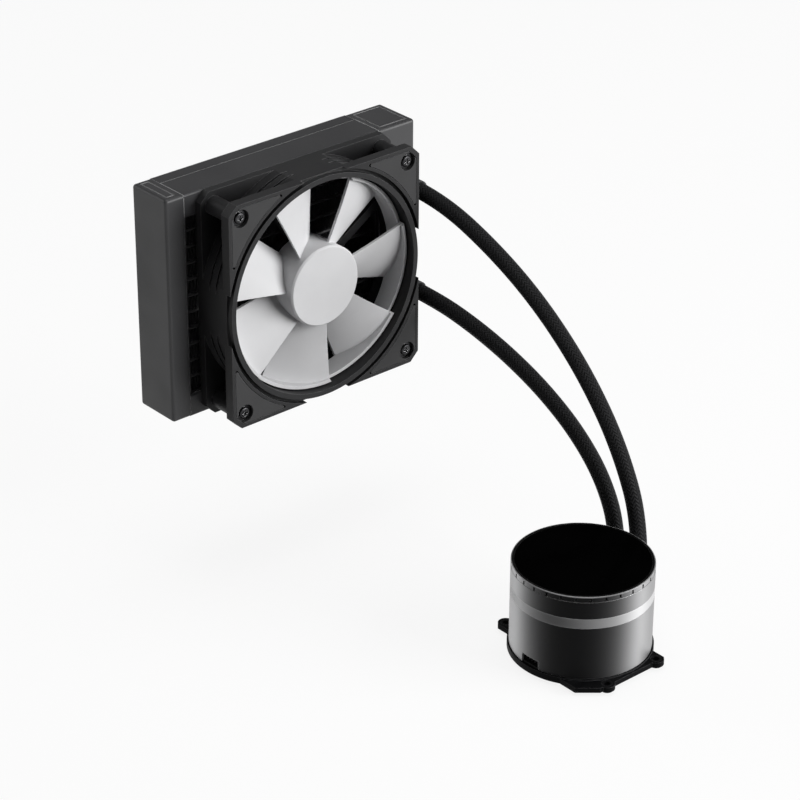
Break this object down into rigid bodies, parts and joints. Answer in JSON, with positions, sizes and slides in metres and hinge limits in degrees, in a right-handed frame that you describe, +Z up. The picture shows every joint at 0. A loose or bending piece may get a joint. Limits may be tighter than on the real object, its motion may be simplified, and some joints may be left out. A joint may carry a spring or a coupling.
{
  "type": "all in one cpu liquid cooler",
  "caption": "Closed loop liquid cooler: a flat radiator with a fan on its front, two braided hoses and a round pump head with a copper cold plate on its mounting bracket.",
  "frame": {"origin": "centre of the screw pattern in the radiator's rear face, the face away from the fan", "axes": "+Y straight out of the radiator's rear face, +X along the radiator towards the tank with the hose ports, +Z up, out of the pump's cap"},
  "size_m": [0.157, 0.2466, 0.2087],
  "materials": {
    "radiator_black": "satin black paint on aluminium",
    "fin_black": "thin black paint on aluminium fins",
    "frame_grey": "fine moulded texture, dark grey",
    "pad_grey": "soft matte grey",
    "rotor_white": "smooth matte white",
    "screw_black": "black zinc",
    "steel": "bright steel",
    "magnet": "dull ferrite",
    "bearing_bronze": "sintered bronze",
    "copper": "bare copper",
    "nylon_black": "glass filled nylon, black",
    "nylon_pale": "natural nylon",
    "board": "circuit board",
    "shell_black": "satin to gloss black",
    "band_pale": "translucent pale grey",
    "lens_black": "mirror black",
    "bracket_black": "satin black",
    "hose_black": "woven sleeve over a rubber hose",
    "collar_black": "matte shrink collar",
    "gasket_black": "moulded seal"
  },
  "bodies": {
    "cooler": {"bracket": "bracket_black", "cable_socket": "nylon_black", "cold_plate": "copper", "control_board": "board", "core_tubes": "radiator_black", "corner_pad_1": "pad_grey", "corner_pad_2": "pad_grey", "corner_pad_3": "pad_grey", "corner_pad_4": "pad_grey", "ear_bushes": "steel", "fan_bearing": "bearing_bronze", "fan_board": "board", "fan_coils": "copper", "fan_frame": "frame_grey", "fan_screws": "screw_black", "fan_stator": "steel", "fin_row_01": "fin_black", "fin_row_02": "fin_black", "fin_row_03": "fin_black", "fin_row_04": "fin_black", "fin_row_05": "fin_black", "fin_row_06": "fin_black", "fin_row_07": "fin_black", "fin_row_08": "fin_black", "fin_row_09": "fin_black", "fin_row_10": "fin_black", "fin_row_11": "fin_black", "front_elbow": "nylon_black", "impeller_pin": "steel", "led_board": "board", "left_tank": "radiator_black", "light_band": "band_pale", "lower_channel": "radiator_black", "lower_collars": "collar_black", "lower_hose": "hose_black", "lower_port": "radiator_black", "lower_shell": "shell_black", "plate_gasket": "gasket_black", "plate_screws": "steel", "pump_coils": "copper", "pump_housing": "nylon_black", "pump_stator": "steel", "rear_elbow": "nylon_black", "right_tank": "radiator_black", "rotor_can": "nylon_black", "tank_divider": "radiator_black", "upper_channel": "radiator_black", "upper_collars": "collar_black", "upper_hose": "hose_black", "upper_port": "radiator_black", "upper_shell": "shell_black"},
    "fan_wheel": {"fan_rotor": "rotor_white", "rotor_yoke": "steel", "rotor_magnet": "magnet", "fan_shaft": "steel", "shaft_clip": "nylon_pale"},
    "pump_wheel": {"impeller": "nylon_pale", "impeller_magnet": "magnet"},
    "cap": {"cap_ring": "shell_black", "cap_lens": "lens_black"}
  },
  "joints": [
    {"name": "fan_spin", "type": "hinge", "parent": "cooler", "child": "fan_wheel", "pos_m": [0, -0.04, 0], "axis": [0, -1, 0], "continuous": true},
    {"name": "impeller_spin", "type": "hinge", "parent": "cooler", "child": "pump_wheel", "pos_m": [0.0315, -0.207, -0.13], "axis": [0, 0, 1], "continuous": true},
    {"name": "cap_turn", "type": "hinge", "parent": "cooler", "child": "cap", "pos_m": [0.0315, -0.207, -0.1], "axis": [0, 0, 1], "continuous": true}
  ]
}
